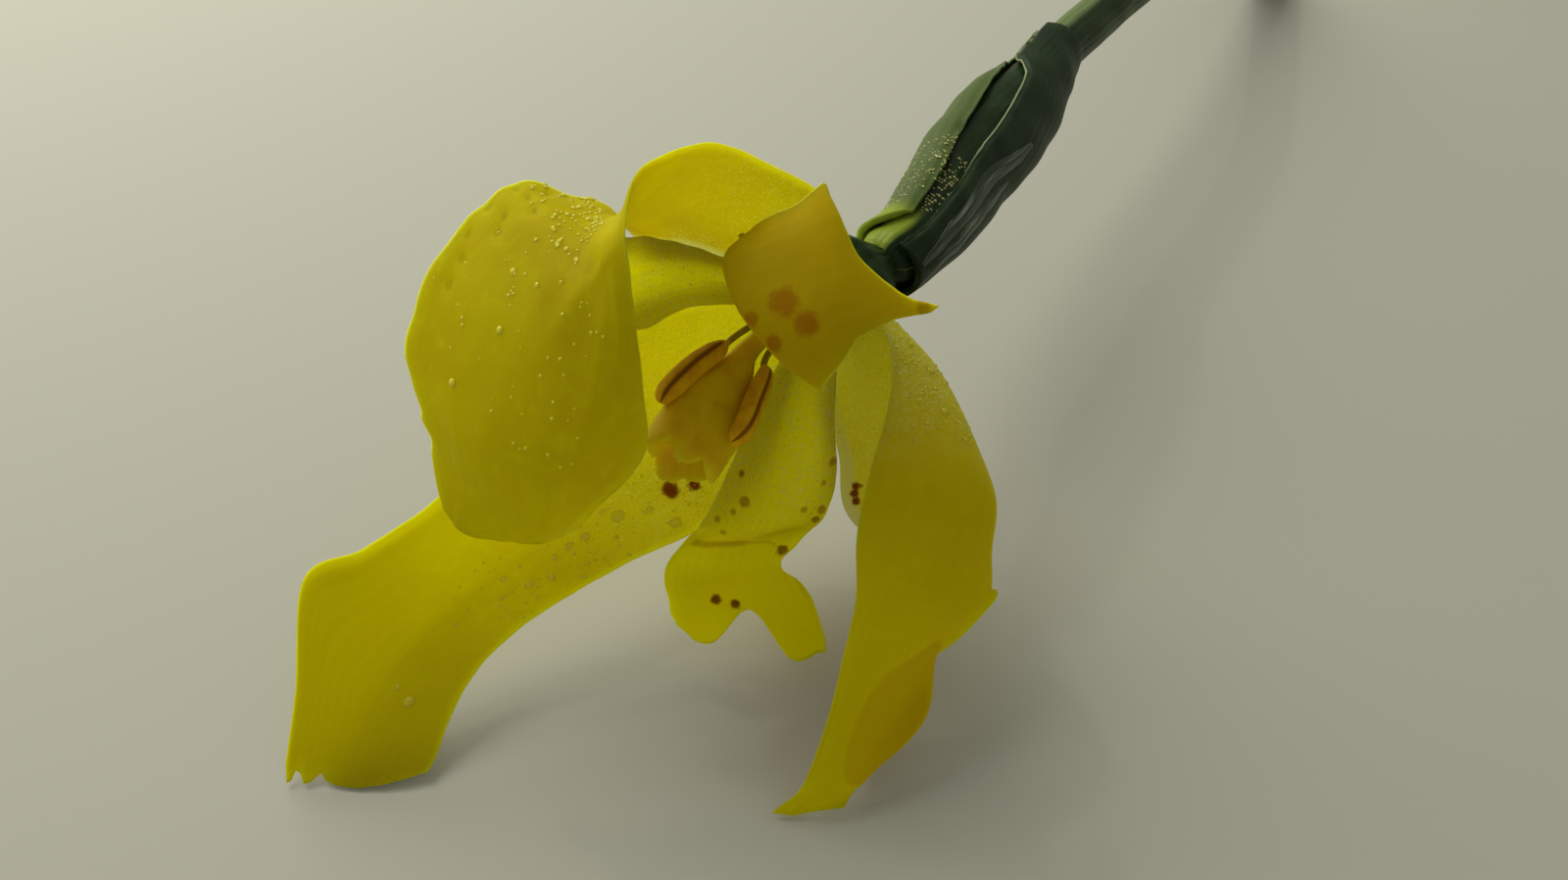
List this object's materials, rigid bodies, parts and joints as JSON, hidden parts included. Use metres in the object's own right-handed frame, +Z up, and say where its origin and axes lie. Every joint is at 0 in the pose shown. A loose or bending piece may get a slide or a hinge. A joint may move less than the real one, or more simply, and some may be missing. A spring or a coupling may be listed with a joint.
{
  "type": "apostle iris flower",
  "caption": "Cut yellow walking-iris flower lying on its side, with bent tepals, a crested style between its anthers, a green spathe and a length of stem.",
  "frame": {"origin": "on the surface the flower lies on, under the middle of its bounding box", "axes": "+Z up; the stem runs to +Y and the flower faces -Y; +X to the right as one looks along +Y"},
  "size_m": [0.0335, 0.1319, 0.032],
  "materials": {
    "outer_tepal": "soft waxy petal",
    "inner_tepal": "soft waxy petal",
    "style": "matte",
    "anther": "matte, dusty",
    "ovary": "smooth",
    "outer_bract": "waxy leaf",
    "inner_bract": "waxy leaf",
    "stem": "smooth"
  },
  "bodies": {
    "root": {"outer_tepal_top": "outer_tepal", "outer_tepal_left": "outer_tepal", "outer_tepal_right": "outer_tepal", "inner_tepal_bottom": "inner_tepal", "inner_tepal_upper": "inner_tepal", "inner_tepal_left": "inner_tepal", "style": "style", "stamen_1": "anther", "stamen_2": "anther", "stamen_3": "anther", "ovary": "ovary", "spathe_outer_bract": "outer_bract", "spathe_inner_bract": "inner_bract", "stem": "stem"}
  },
  "joints": []
}
